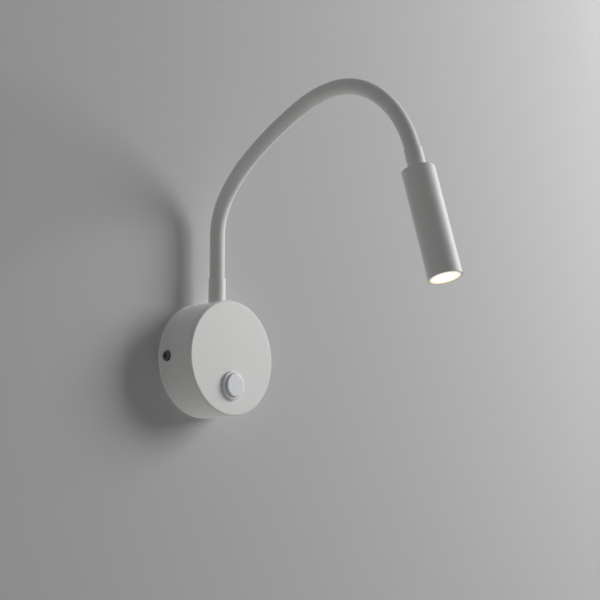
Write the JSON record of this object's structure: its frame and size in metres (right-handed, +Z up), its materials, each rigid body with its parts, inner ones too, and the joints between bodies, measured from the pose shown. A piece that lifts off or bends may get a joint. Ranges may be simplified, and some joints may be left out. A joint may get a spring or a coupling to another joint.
{
  "type": "gooseneck wall light",
  "caption": "Round wall-mounted reading light with a bendable gooseneck arm, a cylindrical spot head and a push-button switch on its base.",
  "frame": {"origin": "on the base's axis in the plane of the wall", "axes": "+Z up, -Y out from the wall towards the room, +X to the right as seen from the room"},
  "size_m": [0.0822, 0.2241, 0.2184],
  "materials": {
    "white_coat": "matte",
    "white_sleeve": "matte",
    "switch_ring_plastic": "satin",
    "button_plastic": "satin",
    "zinc_steel": "satin",
    "screw_steel": "satin",
    "hose_steel": "satin",
    "lead_jacket": "matte",
    "brass": "satin",
    "terminal_plastic": "matte",
    "driver_plastic": "matte",
    "adhesive_foam": "matte",
    "wire_brown": "satin",
    "wire_black": "satin",
    "wire_blue": "satin",
    "wire_red": "satin",
    "heat_sink_aluminium": "satin",
    "board_white": "satin",
    "chip_phosphor": "matte",
    "holder_plastic": "matte",
    "lens_clear": "gloss"
  },
  "bodies": {
    "base": {"base_housing": "white_coat", "wall_plate": "zinc_steel", "side_screws": "screw_steel", "switch_housing": "switch_ring_plastic", "switch_spring": "zinc_steel", "switch_terminals": "brass", "switch_washer": "zinc_steel", "switch_nut": "zinc_steel", "terminal_block": "terminal_plastic", "terminal_clamps": "brass", "terminal_screws": "zinc_steel", "driver_case": "driver_plastic", "driver_lid": "driver_plastic", "driver_pad": "adhesive_foam", "live_wire": "wire_brown", "switched_wire": "wire_black", "neutral_wire": "wire_blue", "lower_ferrule": "white_coat", "neck_washer": "zinc_steel", "neck_nut": "zinc_steel", "neck_sleeve_1": "white_sleeve", "neck_core_1": "hose_steel", "neck_lead_1": "lead_jacket"},
    "neck_1": {"neck_sleeve_2": "white_sleeve", "neck_core_2": "hose_steel", "neck_lead_2": "lead_jacket"},
    "neck_2": {"neck_sleeve_3": "white_sleeve", "neck_core_3": "hose_steel", "neck_lead_3": "lead_jacket"},
    "neck_3": {"neck_sleeve_4": "white_sleeve", "neck_core_4": "hose_steel", "neck_lead_4": "lead_jacket"},
    "neck_4": {"neck_sleeve_5": "white_sleeve", "neck_core_5": "hose_steel", "neck_lead_5": "lead_jacket"},
    "neck_5": {"neck_sleeve_6": "white_sleeve", "neck_core_6": "hose_steel", "neck_lead_6": "lead_jacket"},
    "neck_6": {"neck_sleeve_7": "white_sleeve", "neck_core_7": "hose_steel", "neck_lead_7": "lead_jacket"},
    "neck_7": {"neck_sleeve_8": "white_sleeve", "neck_core_8": "hose_steel", "neck_lead_8": "lead_jacket"},
    "head": {"neck_sleeve_9": "white_sleeve", "neck_core_9": "hose_steel", "neck_lead_9": "lead_jacket", "upper_ferrule": "white_coat", "head_washer": "zinc_steel", "head_nut": "zinc_steel", "head_housing": "white_coat", "heat_sink": "heat_sink_aluminium", "led_board": "board_white", "board_screws": "screw_steel", "led_chip": "chip_phosphor", "head_wires": "wire_red", "lens_holder": "holder_plastic", "lens": "lens_clear", "front_ring": "white_coat"},
    "button": {"button_cap": "button_plastic"}
  },
  "joints": [
    {"name": "neck_swing_1", "type": "hinge", "parent": "base", "child": "neck_1", "pos_m": [0, -0.015, 0.08662], "axis": [0, 1, 0], "range_deg": [-25, 25]},
    {"name": "neck_curl_1", "type": "hinge", "parent": "neck_1", "child": "neck_2", "pos_m": [0, -0.02382, 0.1146], "axis": [1, 0, 0], "range_deg": [-30, 15]},
    {"name": "neck_swing_2", "type": "hinge", "parent": "neck_2", "child": "neck_3", "pos_m": [0, -0.04426, 0.13613], "axis": [0, 0.6157, 0.788], "range_deg": [-25, 25]},
    {"name": "neck_curl_2", "type": "hinge", "parent": "neck_3", "child": "neck_4", "pos_m": [0, -0.06895, 0.15279], "axis": [1, 0, 0], "range_deg": [-30, 15]},
    {"name": "neck_swing_3", "type": "hinge", "parent": "neck_4", "child": "neck_5", "pos_m": [0, -0.09549, 0.16631], "axis": [0, 0.4067, 0.9135], "range_deg": [-25, 25]},
    {"name": "neck_curl_3", "type": "hinge", "parent": "neck_5", "child": "neck_6", "pos_m": [0, -0.12434, 0.17297], "axis": [1, 0, 0], "range_deg": [-30, 15]},
    {"name": "neck_swing_4", "type": "hinge", "parent": "neck_6", "child": "neck_7", "pos_m": [0, -0.15305, 0.16634], "axis": [0, -0.4695, 0.8829], "range_deg": [-25, 25]},
    {"name": "neck_curl_4", "type": "hinge", "parent": "neck_7", "child": "head", "pos_m": [0, -0.17571, 0.14733], "axis": [1, 0, 0], "range_deg": [-30, 15]},
    {"name": "button_press", "type": "slide", "parent": "base", "child": "button", "axis": [0, 1, 0], "range_m": [0, 0.002], "stiffness_N_per_m": 600, "deforming": ["switch_spring"]}
  ]
}
